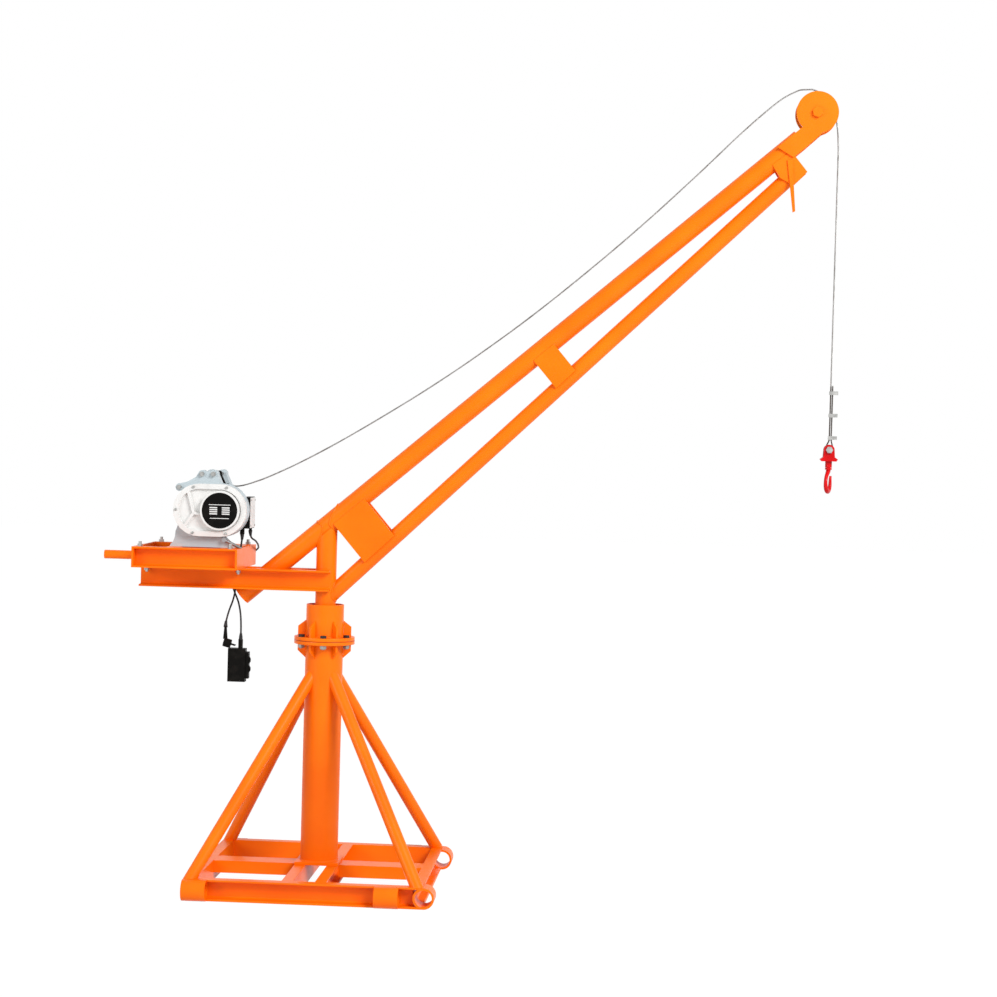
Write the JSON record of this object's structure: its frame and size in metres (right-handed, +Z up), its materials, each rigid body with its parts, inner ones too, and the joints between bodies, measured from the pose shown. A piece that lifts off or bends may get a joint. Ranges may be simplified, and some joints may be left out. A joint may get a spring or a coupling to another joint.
{
  "type": "portable mini crane",
  "caption": "Portable slewing crane: braced column on a square channel base, inclined tubular jib, electric rope winch on a rear tray, head sheave and swivel hook.",
  "frame": {"origin": "on the floor, on the column's axis: the base stands on the plane Z = 0", "axes": "+Z up along the column; +X along the jib at rest; +Y to the rear side of the base"},
  "size_m": [2.838, 0.9848, 3.124],
  "materials": {
    "orange_paint": "gloss orange enamel over welded steel",
    "zinc": "zinc plated",
    "machined_steel": "machined, lightly oiled",
    "wire_rope": "stranded bright steel",
    "grey_paint": "blue-grey paint on a casting",
    "white_paint": "white paint, satin",
    "black_plate": "gloss black plate, bare",
    "black_plastic": "moulded black",
    "black_rubber": "satin black sheath",
    "red_paint": "red enamel on forged steel"
  },
  "bodies": {
    "base": {"front_channel": "orange_paint", "right_channel": "orange_paint", "rear_channel": "orange_paint", "left_channel": "orange_paint", "spine_channels": "orange_paint", "cross_channels": "orange_paint", "foot_plate": "orange_paint", "front_sockets": "orange_paint", "rear_sockets": "orange_paint", "right_sockets": "orange_paint", "column": "orange_paint", "column_flange": "orange_paint", "collar_flange": "orange_paint", "collar": "orange_paint", "flange_bolts": "zinc", "braces": "orange_paint", "footstep_bearing": "machined_steel", "collar_bush": "machined_steel"},
    "upper_works": {"mast": "orange_paint", "upper_tube": "orange_paint", "lower_tube": "orange_paint", "root_plates": "orange_paint", "middle_plates": "orange_paint", "tail_channels": "orange_paint", "tray_rails": "orange_paint", "tray_ends": "orange_paint", "winch_bed": "orange_paint", "tray_studs": "zinc", "tail_bolts": "zinc", "push_handle": "orange_paint", "head_plates": "orange_paint", "head_gussets": "orange_paint", "guide_bar": "orange_paint", "sheave_axle": "machined_steel", "gear_case": "grey_paint", "gear_cover": "white_paint", "nameplate": "black_plate", "motor_case": "grey_paint", "motor": "white_paint", "tie_rods": "zinc", "winch_stay": "machined_steel", "rope_guide": "black_plastic", "control_box": "black_plastic", "control_cover": "white_paint", "hoist_rope": "wire_rope", "rope_clips": "zinc", "hook_yoke": "red_paint", "yoke_pin": "zinc", "pendant_cord": "black_rubber", "pendant": "black_plastic", "power_cord": "black_rubber", "plug": "black_rubber"},
    "winch_drum": {"drum": "machined_steel", "wound_rope": "wire_rope"},
    "head_sheave": {"sheave": "machined_steel"},
    "hook": {"hook_shank": "red_paint", "hook": "red_paint"}
  },
  "joints": [
    {"name": "slew", "type": "hinge", "parent": "base", "child": "upper_works", "pos_m": [0, 0, 0.95], "axis": [0, 0, 1], "continuous": true},
    {"name": "drum_spin", "type": "hinge", "parent": "upper_works", "child": "winch_drum", "pos_m": [-0.435, 0, 1.447], "axis": [0, 1, 0], "continuous": true},
    {"name": "sheave_spin", "type": "hinge", "parent": "upper_works", "child": "head_sheave", "pos_m": [1.84446, 0, 3.02865], "axis": [0, 1, 0], "continuous": true},
    {"name": "hook_swivel", "type": "hinge", "parent": "upper_works", "child": "hook", "pos_m": [1.93, 0, 1.68], "axis": [0, 0, 1], "continuous": true}
  ]
}
